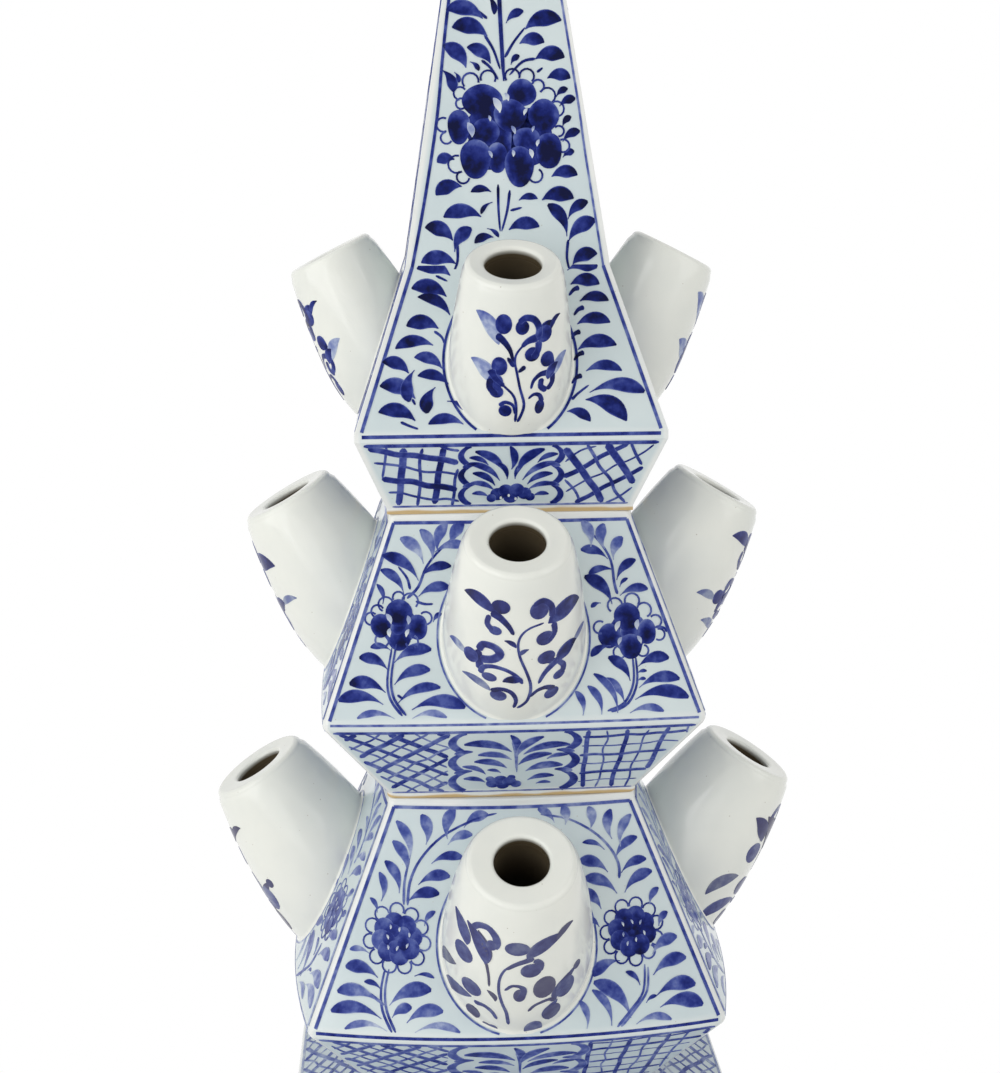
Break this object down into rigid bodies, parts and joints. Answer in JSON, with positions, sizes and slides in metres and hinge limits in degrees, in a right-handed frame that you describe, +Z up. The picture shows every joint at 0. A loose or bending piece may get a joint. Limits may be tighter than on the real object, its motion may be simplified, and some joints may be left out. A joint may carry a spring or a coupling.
{
  "type": "tulipiere",
  "caption": "Stacked square flower pyramid in glazed ceramic: plinth, two tiers and an obelisk tier that lift apart, each tier a water vessel with slanting stem spouts.",
  "frame": {"origin": "centre of the footprint, on the ground", "axes": "+Z up along the stack, -Y towards the front as pictured, +X to the viewer's right"},
  "size_m": [0.225, 0.225, 0.6073],
  "materials": {
    "painted_glaze": "gloss",
    "white_glaze": "gloss",
    "bare_clay": "matte",
    "cobalt_blue": "gloss"
  },
  "bodies": {
    "plinth": {"base_foot": "painted_glaze", "base_roof": "painted_glaze", "base_collar": "bare_clay", "base_wall_front": "painted_glaze", "base_wall_right": "painted_glaze", "base_wall_back": "painted_glaze", "base_wall_left": "painted_glaze"},
    "lower_tier": {"lower_skirt_front": "painted_glaze", "lower_skirt_right": "painted_glaze", "lower_skirt_back": "painted_glaze", "lower_skirt_left": "painted_glaze", "lower_wall_front": "painted_glaze", "lower_wall_right": "painted_glaze", "lower_wall_back": "painted_glaze", "lower_wall_left": "painted_glaze", "lower_spout_front": "white_glaze", "lower_spout_right": "white_glaze", "lower_spout_back": "white_glaze", "lower_spout_left": "white_glaze", "lower_floor": "bare_clay", "lower_collar": "bare_clay"},
    "middle_tier": {"middle_skirt_front": "painted_glaze", "middle_skirt_right": "painted_glaze", "middle_skirt_back": "painted_glaze", "middle_skirt_left": "painted_glaze", "middle_wall_front": "painted_glaze", "middle_wall_right": "painted_glaze", "middle_wall_back": "painted_glaze", "middle_wall_left": "painted_glaze", "middle_spout_front": "white_glaze", "middle_spout_right": "white_glaze", "middle_spout_back": "white_glaze", "middle_spout_left": "white_glaze", "middle_floor": "bare_clay", "middle_collar": "bare_clay"},
    "obelisk_tier": {"top_skirt_front": "painted_glaze", "top_skirt_right": "painted_glaze", "top_skirt_back": "painted_glaze", "top_skirt_left": "painted_glaze", "top_wall_front": "painted_glaze", "top_wall_right": "painted_glaze", "top_wall_back": "painted_glaze", "top_wall_left": "painted_glaze", "top_spout_front": "white_glaze", "top_spout_right": "white_glaze", "top_spout_back": "white_glaze", "top_spout_left": "white_glaze", "top_floor": "bare_clay", "obelisk_slab_front": "painted_glaze", "obelisk_slab_right": "painted_glaze", "obelisk_slab_back": "painted_glaze", "obelisk_slab_left": "painted_glaze", "obelisk_finial": "white_glaze"}
  },
  "joints": [
    {"name": "lower_lift", "type": "slide", "parent": "plinth", "child": "lower_tier", "axis": [0, 0, 1], "range_m": [0, 0.08]},
    {"name": "middle_lift", "type": "slide", "parent": "lower_tier", "child": "middle_tier", "axis": [0, 0, 1], "range_m": [0, 0.08]},
    {"name": "obelisk_lift", "type": "slide", "parent": "middle_tier", "child": "obelisk_tier", "axis": [0, 0, 1], "range_m": [0, 0.08]}
  ]
}
